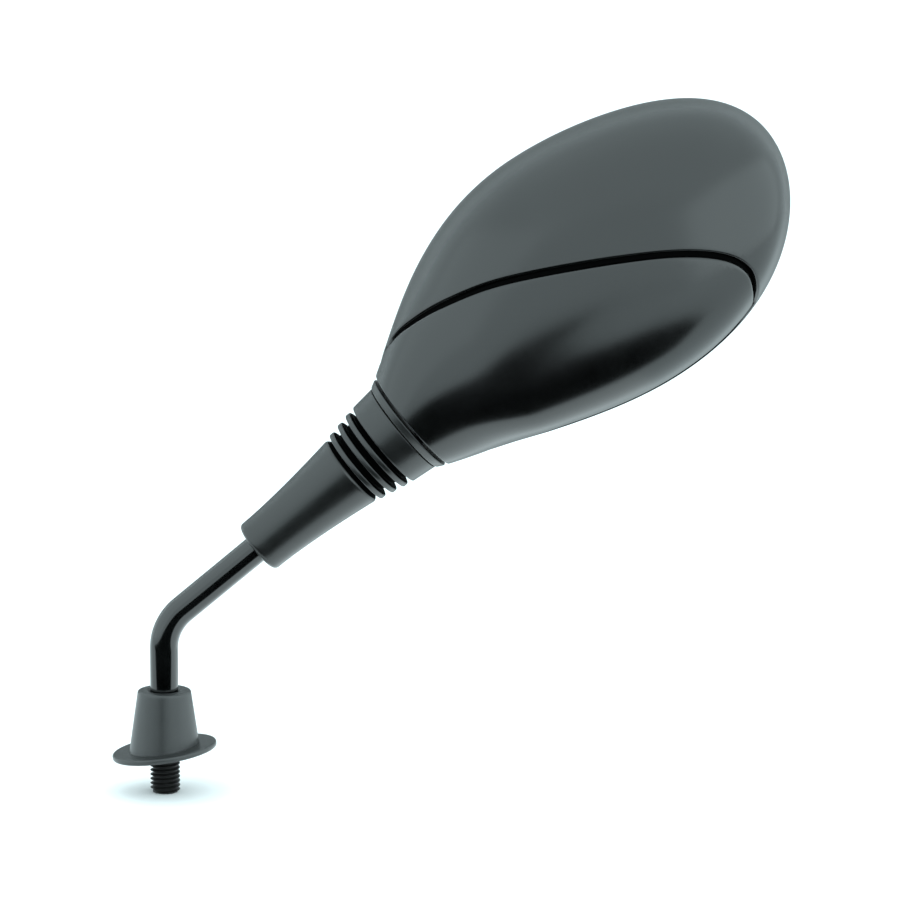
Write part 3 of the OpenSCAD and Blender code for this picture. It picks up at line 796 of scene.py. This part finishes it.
def base_boot():
    """Moulded upright cone, hollow for the lock nut, on a flange that leans with the bracket"""
    foot_z = flange_t / 2
    side = [(cone_r(z), z, 0) for z in np.linspace(cone_top_z - 1.6, foot_z, 14).tolist()]
    lip = [(boot_lip_r, boot_lip_low, 0.3), (boot_lip_r, boot_lip_high, 0.2),
           (boot_lip_mouth_r, cone_top_z, 0.3), (cone_top_r, cone_top_z, cone_round)]
    cone = turned("base_boot", eased(lip + side + boot_hollow), Matrix.Identity(4), sides=144)
    lean = math.tan(math.radians(flange_tilt))
    for vertex in cone.data.vertices:
        x, y, z = vertex.co / mm
        lower = z + x * lean * smooth(min(1, max(0, (lean_top - z) / lean_run)))
        reach = math.hypot(x, y)
        grow = cone_r(lower) / reach if reach > cone_r(z) - 0.05 and z < cone_lean_end else 1
        vertex.co = Vector((x * grow, y * grow, lower)) * mm
    flange = turned("flange", eased([
        (flange_bore_r, 0.1, 0.1), (flange_r - flange_lip, 0, 0.9), (flange_r, flange_t / 2, 0.3),
        (flange_r - flange_lip, flange_t, 0.9), (flange_bore_r, flange_t - 0.1, 0.1),
    ]), Matrix.Rotation(-math.radians(flange_tilt), 4, "Y"), sides=144)
    boot = joined(cone, flange)
    boot.data.transform(seat_frame)
    tidied(boot, 40)
    return boot


def neck_boot_outline():
    """Outer line of the neck boot from its mouth to the sleeve, as (radius, station, rounding)"""
    line = [(taper_r - 4.0, boot_mouth, 0.3), (taper_r - 0.05, boot_mouth + 0.5, 3.2)]
    for i in range(taper_steps):
        t = i / taper_steps
        line.append((taper_r + (taper_end_r - taper_r) * t ** 1.5,
                     boot_mouth + boot_mouth_run + (taper_end - boot_mouth - boot_mouth_run) * t, 0))
    line.append((taper_end_r, taper_end, 0.7))
    for at, r in zip(rib_at, rib_r):
        low = r - groove_depth
        line += [(low, at - rib_half - rib_foot, 0.4), (low + rib_foot_rise, at - rib_half, 0.15),
                 (r, at - rib_half, 0.5), (r, at + rib_half, 0.5),
                 (low + rib_foot_rise, at + rib_half, 0.15), (low, at + rib_half + rib_foot, 0.4)]
    last = rib_r[-1] + 0.8 - groove_depth
    line += [(last, sleeve_start - 0.5, 0.3), (last + rib_foot_rise, sleeve_start, 0.15),
             (sleeve_r, sleeve_start, 0.55)]
    for i in range(1, 6):
        line.append((sleeve_r + sleeve_flare * i / 6,
                     sleeve_start + (sleeve_end - sleeve_start) * i / 6, 0))
    line.append((sleeve_r + sleeve_flare, sleeve_end, 0.35))
    return line


def wall_inside(station):
    """Inner radius of the neck boot at a station"""
    stops = [boot_mouth, boot_mouth + 9, taper_end - 12, taper_end - 4, -18.05, sleeve_start - 1,
             sleeve_start + 0.9, sleeve_end]
    radii = [rod_r + 0.05, rod_r + 0.05, 8.2, 9.2, 9.7, 12.1, sleeve_bore_r, sleeve_bore_r]
    return float(np.interp(station, stops, radii))


def neck_boot():
    """The boot in lengths that abut in its grooves"""
    bore = [(sleeve_bore_r, sleeve_end, 0), (sleeve_bore_r, boot_mouth, 0)]
    outer = [(p.x, p.y) for p in eased(neck_boot_outline() + bore)][:-2]
    radii = np.array([p[0] for p in outer])
    stations = np.array([p[1] for p in outer])
    cuts = [boot_mouth - 1, twist_start, ribs_start, last_rib_start, sleeve_cut, sleeve_end + 1]
    names = ["neck_boot_taper", "neck_boot_twist", "neck_boot_ribs", "neck_boot_last_rib",
             "neck_boot_sleeve"]
    pieces = []
    for name, start, end in zip(names, cuts, cuts[1:]):
        chosen = [(r, s) for r, s in outer if start < s < end]
        for edge, spot in ((start, 0), (end, len(chosen) + 1)):
            if boot_mouth < edge < sleeve_end:
                after = int(np.argmax(stations >= edge))
                t = (edge - stations[after - 1]) / max(1e-9, stations[after] - stations[after - 1])
                radius = radii[after - 1] + (radii[after] - radii[after - 1]) * t
                chosen.insert(spot, (radius, edge))
        low, high = chosen[0][1], chosen[-1][1]
        inner = [(wall_inside(s), s) for s in np.linspace(high, low, 12)]
        pieces.append(turned(name, chosen + inner, arm_frame, sides=144))
    return pieces


def in_painted_shade_groove(point):
    """Whether a point lies deep between the ribs, where the boot gets painted shade"""
    away = point / mm - ball
    station = away.dot(along_arm)
    radius = (away - station * along_arm).length
    stops, radii = [rib_at[0], rib_at[-1], sleeve_start], [rib_r[0], rib_r[-1], sleeve_r]
    crest = float(np.interp(station, stops, radii))
    return taper_end + 0.4 < station < sleeve_start - 0.02 and radius < crest - 0.55


def neck_ring():
    return turned("neck_ring", eased(ring_outline), arm_frame, sides=144)


# Finishes

def node_group(name, inputs, outputs):
    group = bpy.data.node_groups.new(name, "ShaderNodeTree")
    for label, kind in inputs:
        group.interface.new_socket(label, in_out="INPUT", socket_type=kind)
    for label, kind in outputs:
        group.interface.new_socket(label, in_out="OUTPUT", socket_type=kind)
    return group, group.nodes.new("NodeGroupInput"), group.nodes.new("NodeGroupOutput")


def noise(tree, vector, scale, detail, rough=0.55):
    node = tree.nodes.new("ShaderNodeTexNoise")
    node.inputs["Detail"].default_value = detail
    node.inputs["Roughness"].default_value = rough
    tree.links.new(vector, node.inputs["Vector"])
    if isinstance(scale, (int, float)):
        node.inputs["Scale"].default_value = scale
    else:
        tree.links.new(scale, node.inputs["Scale"])
    return node.outputs["Fac"]


def maths(tree, operation, first, second, third=None):
    node = tree.nodes.new("ShaderNodeMath")
    node.operation = operation
    for socket, value in zip(node.inputs, (first, second, third)):
        if value is None:
            continue
        if isinstance(value, (int, float)):
            socket.default_value = value
        else:
            tree.links.new(value, socket)
    return node.outputs[0]


def ranged(tree, value, low, high, to_low=0.0, to_high=1.0):
    node = tree.nodes.new("ShaderNodeMapRange")
    node.interpolation_type = "SMOOTHSTEP"
    for socket, number in zip(node.inputs[1:5], (low, high, to_low, to_high)):
        if isinstance(number, (int, float)):
            socket.default_value = number
        else:
            tree.links.new(number, socket)
    tree.links.new(value, node.inputs[0])
    return node.outputs[0]


def object_point(tree):
    return tree.nodes.new("ShaderNodeTexCoord").outputs["Object"]


def with_group(tree, group, vector):
    node = tree.nodes.new("ShaderNodeGroup")
    node.node_tree = group
    tree.links.new(vector, node.inputs["Vector"])
    return node


def mixed(tree, factor, first, second):
    """Colour between two plain ones"""
    mix = tree.nodes.new("ShaderNodeMix")
    mix.data_type = "RGBA"
    mix.inputs["A"].default_value = (*first, 1)
    mix.inputs["B"].default_value = (*second, 1)
    tree.links.new(factor, mix.inputs["Factor"])
    return mix.outputs["Result"]


def blank(name):
    """New material with its tree and shader"""
    material = bpy.data.materials.new(name)
    material.use_nodes = True
    tree = material.node_tree
    return material, tree, tree.nodes["Principled BSDF"]


def moulded_grain():
    """Skin of a moulding: the height of its fine pimples, and a slow mottle"""
    group, start, end = node_group(
        "moulded_grain", [("Vector", "NodeSocketVector"), ("Scale", "NodeSocketFloat")],
        [("Height", "NodeSocketFloat"), ("Mottle", "NodeSocketFloat")])
    vector = start.outputs["Vector"]
    pimples = noise(group, vector, start.outputs["Scale"], 3.0)
    cells = group.nodes.new("ShaderNodeTexVoronoi")
    cells.feature = "SMOOTH_F1"
    group.links.new(vector, cells.inputs["Vector"])
    group.links.new(start.outputs["Scale"], cells.inputs["Scale"])
    hollows = maths(group, "MULTIPLY", cells.outputs["Distance"], 0.4)
    group.links.new(maths(group, "MULTIPLY_ADD", pimples, 0.6, hollows), end.inputs["Height"])
    slow = noise(group, vector, 45.0, 3.0)
    patches = maths(group, "MULTIPLY_ADD", noise(group, vector, 260.0, 4.0), 0.45, slow)
    group.links.new(ranged(group, patches, 0.45, 1.0), end.inputs["Mottle"])
    return group


def handling_wear():
    """Dust in patches and hairline scuffs, as masks"""
    group, start, end = node_group(
        "handling_wear", [("Vector", "NodeSocketVector"), ("Amount", "NodeSocketFloat")],
        [("Dust", "NodeSocketFloat"), ("Scuffs", "NodeSocketFloat")])
    vector = start.outputs["Vector"]
    clouds = noise(group, vector, 30.0, 6.0, 0.65)
    specks = noise(group, vector, 1400.0, 2.0, 0.7)
    dust = maths(group, "MULTIPLY", ranged(group, clouds, 0.42, 0.75), ranged(group, specks, 0.5, 0.72))
    group.links.new(maths(group, "MULTIPLY", dust, start.outputs["Amount"]), end.inputs["Dust"])
    stretch = group.nodes.new("ShaderNodeMapping")
    stretch.inputs["Rotation"].default_value = (0.3, 0.7, 0.5)
    stretch.inputs["Scale"].default_value = (1.0, 14.0, 14.0)
    group.links.new(vector, stretch.inputs["Vector"])
    hair = noise(group, stretch.outputs["Vector"], 90.0, 5.0, 0.6)
    from_middle = maths(group, "ABSOLUTE", maths(group, "SUBTRACT", hair, 0.5), 0)
    lines = ranged(group, from_middle, 0.0, 0.012, 1.0, 0.0)
    where = ranged(group, noise(group, vector, 55.0, 2.0), 0.58, 0.72)
    scuffs = maths(group, "MULTIPLY", lines, where)
    group.links.new(maths(group, "MULTIPLY", scuffs, start.outputs["Amount"]), end.inputs["Scuffs"])
    return group


grain_group = moulded_grain()
wear_group = handling_wear()


def finish(name, colour, worn_colour, roughness, rough_spread, grain_scale, grain_depth,
           metallic=0.0, wear=0.5, coat=0.0, coat_roughness=0.1, specular=0.5):
    """Material with the moulded grain and handling wear, each at its own values"""
    material, tree, shader = blank(name)
    vector = object_point(tree)
    grain = with_group(tree, grain_group, vector)
    grain.inputs["Scale"].default_value = grain_scale
    marks = with_group(tree, wear_group, vector)
    marks.inputs["Amount"].default_value = wear
    blend = maths(tree, "MULTIPLY_ADD", grain.outputs["Mottle"], 0.3, marks.outputs["Dust"])
    blend = maths(tree, "MULTIPLY_ADD", marks.outputs["Scuffs"], 0.35, blend)
    tree.links.new(mixed(tree, blend, colour, worn_colour), shader.inputs["Base Color"])
    rough = maths(tree, "MULTIPLY_ADD", grain.outputs["Mottle"], rough_spread, roughness)
    rough = maths(tree, "MULTIPLY_ADD", marks.outputs["Dust"], 0.25, rough)
    rough = maths(tree, "MULTIPLY_ADD", marks.outputs["Scuffs"], 0.12, rough)
    tree.links.new(rough, shader.inputs["Roughness"])
    bump = tree.nodes.new("ShaderNodeBump")
    bump.inputs["Strength"].default_value = 1.0
    bump.inputs["Distance"].default_value = grain_depth * mm
    tree.links.new(grain.outputs["Height"], bump.inputs["Height"])
    tree.links.new(bump.outputs["Normal"], shader.inputs["Normal"])
    shader.inputs["Metallic"].default_value = metallic
    shader.inputs["Specular IOR Level"].default_value = specular
    shader.inputs["Coat Weight"].default_value = coat
    shader.inputs["Coat Roughness"].default_value = coat_roughness
    return material


def silvered_glass():
    """Front of the mirror: chromed glass with a trace of dust"""
    material, tree, shader = blank("silvered_glass")
    marks = with_group(tree, wear_group, object_point(tree))
    marks.inputs["Amount"].default_value = 0.35
    chrome = mixed(tree, marks.outputs["Dust"], (0.48, 0.49, 0.49), (0.40, 0.41, 0.40))
    tree.links.new(chrome, shader.inputs["Base Color"])
    rough = maths(tree, "MULTIPLY_ADD", marks.outputs["Dust"], 0.2, 0.025)
    tree.links.new(rough, shader.inputs["Roughness"])
    shader.inputs["Metallic"].default_value = 1.0
    return material


head_plastic = finish("head_plastic", (0.0003, 0.0004, 0.0004), (0.0026, 0.0030, 0.0030),
                      0.20, 0.03, 2600.0, 0.008, wear=0.2, specular=0.70)
base_rubber = finish("base_rubber", (0.0070, 0.0082, 0.0084), (0.020, 0.022, 0.022),
                     0.32, 0.06, 2100.0, 0.020, wear=0.4, specular=0.72)
boot_rubber = finish("boot_rubber", (0.0010, 0.0012, 0.0012), (0.0080, 0.0088, 0.0086),
                     0.30, 0.05, 2100.0, 0.020, wear=0.3, specular=0.68)
stem_paint = finish("stem_paint", (0.0006, 0.0008, 0.0008), (0.0060, 0.0064, 0.0064),
                    0.10, 0.03, 1300.0, 0.003, wear=0.25, coat=0.25, coat_roughness=0.06, specular=0.62)
ring_plastic = finish("ring_plastic", (0.0010, 0.0012, 0.0012), (0.0080, 0.0088, 0.0088),
                      0.30, 0.05, 2400.0, 0.012, wear=0.25, specular=0.68)
thread_steel = finish("thread_steel", (0.0012, 0.0013, 0.0014), (0.014, 0.013, 0.012),
                      0.34, 0.10, 1800.0, 0.01, wear=0.35, specular=0.22)
zinc_steel = finish("zinc_steel", (0.34, 0.35, 0.35), (0.22, 0.22, 0.21),
                    0.30, 0.16, 900.0, 0.008, metallic=1.0, wear=0.6)
ball_steel = finish("ball_steel", (0.60, 0.61, 0.62), (0.36, 0.36, 0.35),
                    0.16, 0.08, 700.0, 0.004, metallic=1.0, wear=0.3)
liner_nylon = finish("liner_nylon", (0.72, 0.70, 0.63), (0.50, 0.48, 0.42),
                     0.42, 0.10, 1500.0, 0.01, wear=0.4)
inner_plastic = finish("inner_plastic", (0.020, 0.021, 0.022), (0.05, 0.05, 0.05),
                       0.50, 0.10, 1700.0, 0.03, wear=0.6)
# Matte near-black for the faces deep in the head's groove and between the boot's ribs: painted shade that
# stands in for the shadow there
painted_shade_gap = finish("painted_shade_gap", (0.0005, 0.0006, 0.0006), (0.0015, 0.0015, 0.0015),
                    0.60, 0.10, 2100.0, 0.01, wear=0.1, specular=0.02)
pad_foam = finish("pad_foam", (0.030, 0.031, 0.032), (0.09, 0.09, 0.09),
                  0.85, 0.10, 1300.0, 0.12, wear=0.8)
ground_edge = finish("ground_edge", (0.30, 0.36, 0.35), (0.48, 0.50, 0.48),
                     0.38, 0.15, 1600.0, 0.02, wear=0.6)
silver = silvered_glass()


def dressed(obj, material):
    obj.data.materials.append(material)


# Pieces

shell = rear_shell()
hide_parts("rear_shell")
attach(shell, "head")

cover = lower_cover()
dressed(cover, head_plastic)
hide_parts("lower_cover")
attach(cover, "head")

glass = mirror_glass()
dressed(glass, silver)
glass.data.materials.append(ground_edge)
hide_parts("glass")
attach(glass, "head")

rod = stem_rod()
dressed(rod, stem_paint)
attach(rod, "stem")
stud = stud_thread()
dressed(stud, thread_steel)
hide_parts("stem")
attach(stud, "stem")

foot = base_boot()
dressed(foot, base_rubber)
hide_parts("base_boot")
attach(foot, "boot")

ring = neck_ring()
dressed(ring, ring_plastic)
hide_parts("neck_ring")
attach(ring, "head")

taper, twist, ribs, last_rib, sleeve = neck_boot()
for piece in (taper, twist, ribs, last_rib, sleeve):
    dressed(piece, boot_rubber)
    # Faces deep between the ribs take the matte near-black: painted shade in the grooves
    piece.data.materials.append(painted_shade_gap)
    for polygon in piece.data.polygons:
        polygon.material_index = int(in_painted_shade_groove(polygon.center))
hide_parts("neck_boot")
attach(taper, "stem")
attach(sleeve, "head")
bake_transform(twist)
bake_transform(ribs)
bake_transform(last_rib)

hardware = ["clamp_plate", "clamp_springs", "clamp_washers", "clamp_screws", "block_screws", "cover_screws",
            "plate_screws", "lock_washer", "jam_nut"]
carried = [(ball_steel, ["pivot_ball"]), (liner_nylon, ["cup_lower", "cup_upper"]), (zinc_steel, hardware),
           (inner_plastic, ["socket_block", "backing_plate"]), (pad_foam, ["glass_pad"])]
for material, nodes in carried:
    for node in nodes:
        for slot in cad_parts[node].material_slots:
            slot.material = material


# Studio

card_low = cad_box[0][2] + 0.0005
sheet_high = 0.10
sheet_end = -1.2
stand_top = 0.11
sweep_high = 1.7
mirror_middle = (0.1, 0, 0.12)
camera_aim = Vector((0.0955, 0, 0.1098))
camera_away = 1.5
camera_tilt = 10


def studio_floor():
    pick_none()
    bpy.ops.mesh.primitive_plane_add(size=24, location=(0, 0, cad_box[0][2] - 0.0001))
    floor = bpy.context.object
    floor.name = "studio_floor"
    material, tree, shader = blank("paper_floor")
    fibres = noise(tree, object_point(tree), 220.0, 4.0)
    paper = mixed(tree, fibres, (0.86, 0.865, 0.87), (0.89, 0.89, 0.89))
    tree.links.new(paper, shader.inputs["Base Color"])
    shader.inputs["Roughness"].default_value = 0.9
    shader.inputs["Specular IOR Level"].default_value = 0.1
    floor.data.materials.append(material)


def gloss_card(name, points, faces, grey, glow=0.0):
    """Sheet round the mirror that only its gloss sees: a painted reflection, dark, grey or glowing"""
    mesh = bpy.data.meshes.new(name)
    mesh.from_pydata(points, [], faces)
    card = shown(name, mesh)
    material, tree, shader = blank(name)
    shader.inputs["Base Color"].default_value = (grey, grey, grey, 1)
    shader.inputs["Specular IOR Level"].default_value = 0.0
    shader.inputs["Emission Color"].default_value = (0.9, 1.0, 1.02, 1)
    shader.inputs["Emission Strength"].default_value = glow
    mesh.materials.append(material)
    card.visible_camera = False
    card.visible_diffuse = False
    card.visible_shadow = False
    return tree, shader


def dark_reflection_sheet():
    """Black sheet on the floor before the mirror, raised at its far end and over a narrow stand, seen only
    in reflections: a painted dark reflection in the mirror's gloss
    """
    near = [(-0.42, -0.08), (0.12, -0.08), (0.27, -0.095), (0.35, -0.19), (0.34, -0.32), (0.26, -0.43),
            (0.12, -0.52), (0.02, -0.9), (0.02, sheet_end)]
    far = [(-0.38, sheet_end), (-0.34, -0.5)]
    points = [(x, y, card_low) for x, y in near + far]
    points += [(0.02, sheet_end, sheet_high), (-0.38, sheet_end, sheet_high)]
    points += [(-0.07, -0.45, card_low), (0.0, -0.45, card_low), (0.0, -0.45, stand_top),
               (-0.07, -0.45, stand_top)]
    gloss_card("dark_reflection_sheet", points, [list(range(11)), [8, 9, 12, 11], [13, 14, 15, 16]], 0.002)


def grey_sweep():
    """Backdrop behind the mirror, seen only in reflections, its grey graded as painted shade: darkest
    straight behind it, to hold the grazing edges back
    """
    points = [(-0.25, 0.14, card_low), (0.5, 0.14, card_low), (1.6, 1.2, card_low), (-1.5, 1.2, card_low),
              (1.6, 1.2, sweep_high), (-1.5, 1.2, sweep_high)]
    tree, shader = gloss_card("grey_sweep", points, [[0, 1, 2, 3], [3, 2, 4, 5]], 0.34)
    away = tree.nodes.new("ShaderNodeVectorMath")
    away.operation = "SUBTRACT"
    away.inputs[1].default_value = mirror_middle
    tree.links.new(object_point(tree), away.inputs[0])
    straight = tree.nodes.new("ShaderNodeVectorMath")
    straight.operation = "NORMALIZE"
    tree.links.new(away.outputs["Vector"], straight.inputs[0])
    behind = tree.nodes.new("ShaderNodeSeparateXYZ")
    tree.links.new(straight.outputs["Vector"], behind.inputs["Vector"])
    # Painted shade: the grey darkens towards straight behind the mirror's middle
    shade = ranged(tree, behind.outputs["Y"], 0.55, 0.97, 0.95, 0.27)
    tree.links.new(shade, shader.inputs["Base Color"])


def glowing_reflection_card():
    """Glowing white card below the head, seen only in reflections: a painted highlight along the head's
    lower edge
    """
    corners = [(0.02, -0.07), (0.23, -0.07), (0.23, 0.12), (0.02, 0.12)]
    points = [(x, y, card_low) for x, y in corners]
    gloss_card("glowing_reflection_card", points, [[0, 1, 2, 3]], 0.8, glow=0.6)


def soft_light(name, place, aim, size, power):
    light = bpy.data.lights.new(name, "AREA")
    light.color = (0.86, 1.0, 1.02)
    light.shape = "RECTANGLE"
    light.size, light.size_y = size
    light.energy = power
    obj = shown(name, light)
    obj.location = place
    obj.rotation_euler = (Vector(aim) - Vector(place)).to_track_quat("-Z", "Y").to_euler()


def studio_world():
    world = bpy.data.worlds.new("studio")
    bpy.context.scene.world = world
    world.use_nodes = True
    back = world.node_tree.nodes["Background"]
    back.inputs["Color"].default_value = (0.84, 1.0, 1.03, 1)
    back.inputs["Strength"].default_value = 1.66


def studio_camera():
    tilt = math.radians(camera_tilt)
    camera = bpy.data.cameras.new("camera")
    camera.sensor_width = 36
    camera.lens = 181.2
    obj = shown("camera", camera)
    obj.location = camera_aim + camera_away * Vector((0, -math.cos(tilt), math.sin(tilt)))
    obj.rotation_euler = (math.radians(90 - camera_tilt), 0, 0)
    bpy.context.scene.camera = obj


bpy.context.scene.view_settings.view_transform = "Standard"
studio_floor()
dark_reflection_sheet()
grey_sweep()
glowing_reflection_card()
studio_world()
studio_camera()
soft_light("overhead", (0.1, -0.4, 1.3), aim=(0.1, 0, 0.1), size=(1.8, 1.4), power=0.8)
soft_light("left_panel", (-1.1, -0.5, 0.5), aim=(0.05, 0, 0.1), size=(1.4, 1.3), power=2.0)
soft_light("right_panel", (1.23, -0.65, 0.62), aim=(0.1, 0, 0.1), size=(2.4, 1.2), power=6.5)
